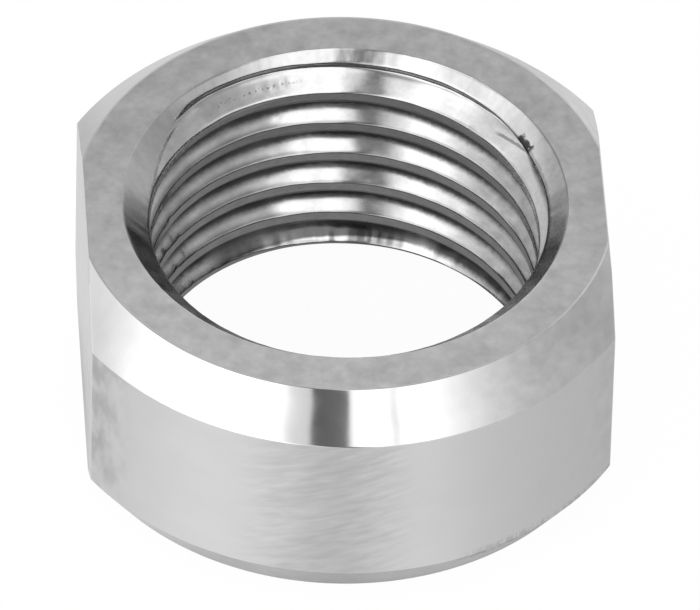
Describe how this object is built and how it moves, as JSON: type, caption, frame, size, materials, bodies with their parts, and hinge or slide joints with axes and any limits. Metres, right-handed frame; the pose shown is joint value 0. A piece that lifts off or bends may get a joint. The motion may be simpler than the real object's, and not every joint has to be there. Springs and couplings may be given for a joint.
{
  "type": "lock nut",
  "caption": "Round turned steel lock nut with a right-hand internal thread, chamfered edges and opposed wrench flats.",
  "frame": {"origin": "on the thread axis, in the plane of the lower face", "axes": "+Z along the thread axis, from the lower face to the face with the wide polished chamfer; +X square to one wrench flat, so the flats face +X and -X; +Y along the flats"},
  "size_m": [0.025, 0.0294, 0.0125],
  "materials": {
    "turned_steel": "bright turned steel: fine tool lines on the wall and faces, polished chamfers, smooth bright thread flanks"
  },
  "bodies": {
    "root": {"lock_nut": "turned_steel"}
  },
  "joints": []
}
